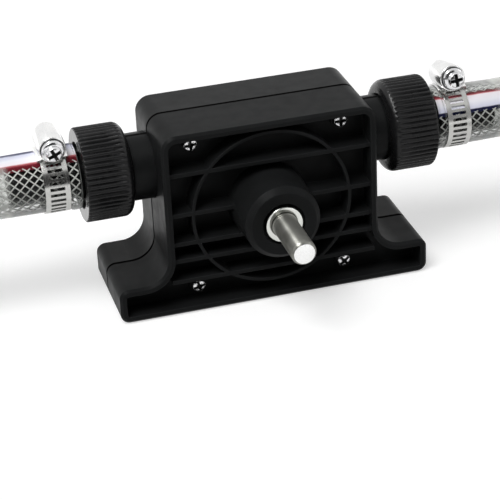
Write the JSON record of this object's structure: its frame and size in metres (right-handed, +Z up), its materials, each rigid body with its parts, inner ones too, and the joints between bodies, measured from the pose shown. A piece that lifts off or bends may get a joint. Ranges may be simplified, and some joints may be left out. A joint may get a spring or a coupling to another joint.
{
  "type": "drill powered pump",
  "caption": "Self-priming flexible-impeller pump driven by a hand drill, with knurled union nuts, barbed tails, worm-drive clamps and two clear braided hoses.",
  "frame": {"origin": "middle of the base's underside, in the parting plane between the two housing halves", "axes": "+X from the inlet to the outlet along the port axis, -Y along the drive shaft towards the drill, +Z up"},
  "size_m": [0.663, 0.2384, 0.0644],
  "materials": {
    "housing_plastic": "satin moulded, black",
    "nut_plastic": "satin moulded, black, knurled",
    "tail_plastic": "glossy moulded, black",
    "rubber": "moulded",
    "shaft_steel": "ground, bright",
    "screw_steel": "zinc plated",
    "clamp_steel": "bright stainless",
    "brass": "turned",
    "bronze": "sintered",
    "hose_pvc": "clear, braided, with a coloured stripe"
  },
  "bodies": {
    "housing": {"front_housing": "housing_plastic", "rear_housing": "housing_plastic", "chamber_seal": "rubber", "front_bush": "shaft_steel", "rear_bush": "bronze", "shaft_seal": "rubber", "thrust_washer": "screw_steel", "housing_screws": "screw_steel"},
    "rotor": {"drive_shaft": "shaft_steel", "drive_pin": "shaft_steel", "impeller_core": "brass", "impeller": "rubber"},
    "inlet_union": {"inlet_tail": "tail_plastic", "inlet_gasket": "rubber", "inlet_clamp_band": "clamp_steel", "inlet_clamp_housing": "clamp_steel", "inlet_hose": "hose_pvc", "inlet_coil": "hose_pvc"},
    "outlet_union": {"outlet_tail": "tail_plastic", "outlet_gasket": "rubber", "outlet_clamp_band": "clamp_steel", "outlet_clamp_housing": "clamp_steel", "outlet_hose": "hose_pvc", "outlet_coil": "hose_pvc"},
    "inlet_ring": {"inlet_nut": "nut_plastic"},
    "outlet_ring": {"outlet_nut": "nut_plastic"},
    "inlet_worm": {"inlet_clamp_screw": "screw_steel"},
    "outlet_worm": {"outlet_clamp_screw": "screw_steel"}
  },
  "joints": [
    {"name": "rotor_spin", "type": "hinge", "parent": "housing", "child": "rotor", "pos_m": [0, 0, 0.0325], "axis": [0, -1, 0], "continuous": true, "deforming": ["impeller"]},
    {"name": "inlet_travel", "type": "slide", "parent": "housing", "child": "inlet_union", "axis": [-1, 0, 0], "range_m": [0, 0.00816]},
    {"name": "outlet_travel", "type": "slide", "parent": "housing", "child": "outlet_union", "axis": [1, 0, 0], "range_m": [0, 0.00816]},
    {"name": "inlet_nut_turn", "type": "hinge", "parent": "inlet_union", "child": "inlet_ring", "pos_m": [-0.05, 0, 0.0454], "axis": [-1, 0, 0], "range_deg": [0, 1620]},
    {"name": "outlet_nut_turn", "type": "hinge", "parent": "outlet_union", "child": "outlet_ring", "pos_m": [0.05, 0, 0.0454], "axis": [1, 0, 0], "range_deg": [0, 1620]},
    {"name": "inlet_worm_turn", "type": "hinge", "parent": "inlet_union", "child": "inlet_worm", "pos_m": [-0.0667, -0.00096, 0.05912], "axis": [0, -0.9976, -0.0698], "continuous": true},
    {"name": "outlet_worm_turn", "type": "hinge", "parent": "outlet_union", "child": "outlet_worm", "pos_m": [0.0672, 0.00239, 0.05894], "axis": [0, -0.9848, 0.1736], "continuous": true}
  ],
  "couplings": [
    {"joint": "inlet_nut_turn", "follows": "inlet_travel", "rad_per_m": 3463.7},
    {"joint": "outlet_nut_turn", "follows": "outlet_travel", "rad_per_m": 3463.7}
  ]
}
